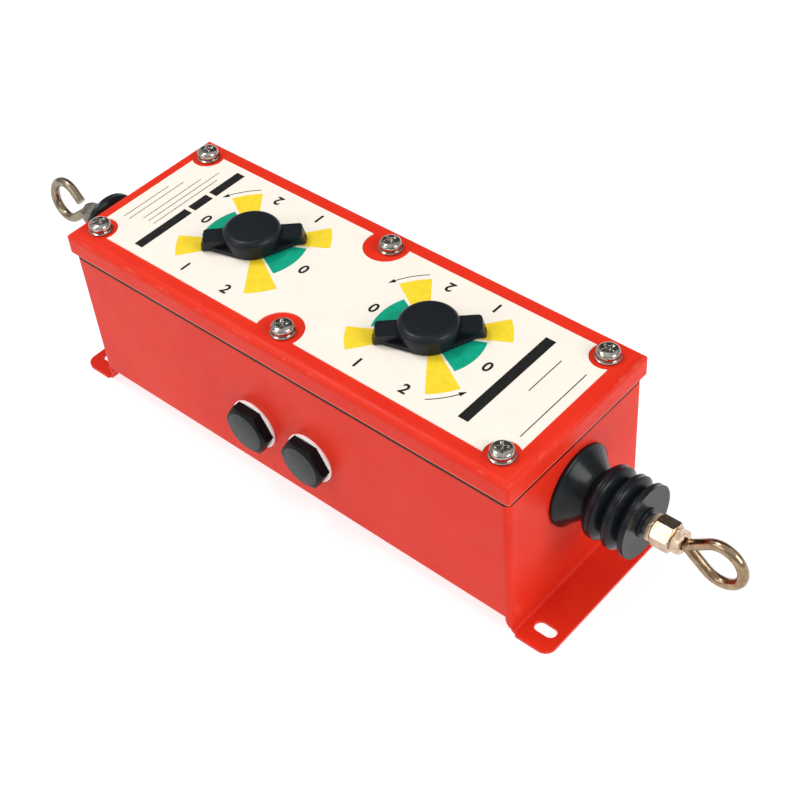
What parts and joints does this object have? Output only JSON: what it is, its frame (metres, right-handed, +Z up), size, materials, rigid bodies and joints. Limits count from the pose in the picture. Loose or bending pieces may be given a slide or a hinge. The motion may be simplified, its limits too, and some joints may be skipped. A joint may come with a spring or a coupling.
{
  "type": "rope pull switch",
  "caption": "Double-ended rope pull safety switch: sheet-steel box on two slotted feet, sprung pull rods with bellows boots and rope eyes, indicator knobs on the lid.",
  "frame": {"origin": "centre of the four foot slots, on the mounting plane", "axes": "+X along the pull rods towards the right-hand eye, +Y to the back (the conduit entries face -Y), +Z up from the mounting plane"},
  "size_m": [0.387, 0.0911, 0.0973],
  "materials": {
    "red_paint": "satin",
    "label_film": "satin",
    "knob_black": "satin",
    "boot_rubber": "matte",
    "seal_rubber": "matte",
    "seal_white": "matte",
    "plug_black": "matte",
    "zinc_clear": "satin",
    "zinc_yellow": "satin",
    "steel_plain": "satin",
    "bush_brass": "satin",
    "spring_steel": "satin",
    "bush_white": "matte",
    "block_grey": "matte",
    "plunger_orange": "satin"
  },
  "bodies": {
    "housing": {"enclosure_body": "red_paint", "lid": "red_paint", "lid_gasket": "seal_rubber", "dial_label": "label_film", "mechanism_chassis": "steel_plain", "lid_screw_1": "zinc_clear", "lid_screw_2": "zinc_clear", "lid_screw_3": "zinc_clear", "lid_screw_4": "zinc_clear", "lid_screw_5": "zinc_clear", "lid_screw_6": "zinc_clear", "lid_washer_1": "zinc_clear", "lid_washer_2": "zinc_clear", "lid_washer_3": "zinc_clear", "lid_washer_4": "zinc_clear", "lid_washer_5": "zinc_clear", "lid_washer_6": "zinc_clear", "conduit_plug_right": "plug_black", "conduit_plug_left": "plug_black", "plug_seal_right": "seal_white", "plug_seal_left": "seal_white", "plug_locknut_right": "plug_black", "plug_locknut_left": "plug_black", "rod_bush_right": "bush_brass", "rod_bush_left": "bush_brass", "bush_nut_right": "zinc_clear", "bush_nut_left": "zinc_clear", "boot_right": "boot_rubber", "boot_left": "boot_rubber", "return_spring_right": "spring_steel", "return_spring_left": "spring_steel", "spindle_bush_right": "bush_white", "spindle_bush_left": "bush_white", "contact_block_right_pulled": "block_grey", "contact_block_right_slack": "block_grey", "contact_block_left_pulled": "block_grey", "contact_block_left_slack": "block_grey"},
    "pull_right": {"pull_rod_right": "steel_plain", "collar_nut_right": "zinc_yellow", "coupling_sleeve_right": "zinc_yellow", "lock_nut_right": "zinc_yellow", "rope_eye_right": "zinc_yellow"},
    "pull_left": {"pull_rod_left": "steel_plain", "collar_nut_left": "zinc_yellow", "coupling_sleeve_left": "zinc_yellow", "lock_nut_left": "zinc_yellow", "rope_eye_left": "zinc_yellow"},
    "indicator_right": {"knob_right": "knob_black", "spindle_right": "steel_plain", "pinion_right": "bush_brass", "cam_right": "bush_white"},
    "indicator_left": {"knob_left": "knob_black", "spindle_left": "steel_plain", "pinion_left": "bush_brass", "cam_left": "bush_white"},
    "plunger_right_pulled": {"plunger_right_pulled": "plunger_orange"},
    "plunger_right_slack": {"plunger_right_slack": "plunger_orange"},
    "plunger_left_pulled": {"plunger_left_pulled": "plunger_orange"},
    "plunger_left_slack": {"plunger_left_slack": "plunger_orange"}
  },
  "joints": [
    {"name": "pull_right_slide", "type": "slide", "parent": "housing", "child": "pull_right", "axis": [1, 0, 0], "range_m": [0, 0.0125], "stiffness_N_per_m": 8000, "deforming": ["boot_right", "return_spring_right"]},
    {"name": "pull_left_slide", "type": "slide", "parent": "housing", "child": "pull_left", "axis": [-1, 0, 0], "range_m": [0, 0.0125], "stiffness_N_per_m": 8000, "deforming": ["boot_left", "return_spring_left"]},
    {"name": "indicator_right_turn", "type": "hinge", "parent": "housing", "child": "indicator_right", "pos_m": [0.048, 0, 0.0875], "axis": [0, 0, -1], "range_deg": [0, 79.6]},
    {"name": "plunger_right_pulled_slide", "type": "slide", "parent": "housing", "child": "plunger_right_pulled", "axis": [0, 1, 0], "range_m": [0, 0.0025]},
    {"name": "plunger_right_slack_slide", "type": "slide", "parent": "housing", "child": "plunger_right_slack", "axis": [0, 1, 0], "range_m": [0, 0.0025]},
    {"name": "indicator_left_turn", "type": "hinge", "parent": "housing", "child": "indicator_left", "pos_m": [-0.048, 0, 0.0875], "axis": [0, 0, -1], "range_deg": [0, 79.6]},
    {"name": "plunger_left_pulled_slide", "type": "slide", "parent": "housing", "child": "plunger_left_pulled", "axis": [0, -1, 0], "range_m": [0, 0.0025]},
    {"name": "plunger_left_slack_slide", "type": "slide", "parent": "housing", "child": "plunger_left_slack", "axis": [0, -1, 0], "range_m": [0, 0.0025]}
  ],
  "couplings": [
    {"joint": "indicator_right_turn", "follows": "pull_right_slide", "rad_per_m": 111.11},
    {"joint": "plunger_right_pulled_slide", "follows": "pull_right_slide", "ratio": 0.2},
    {"joint": "plunger_right_slack_slide", "follows": "pull_right_slide", "ratio": 0.2},
    {"joint": "indicator_left_turn", "follows": "pull_left_slide", "rad_per_m": 111.11},
    {"joint": "plunger_left_pulled_slide", "follows": "pull_left_slide", "ratio": 0.2},
    {"joint": "plunger_left_slack_slide", "follows": "pull_left_slide", "ratio": 0.2}
  ]
}
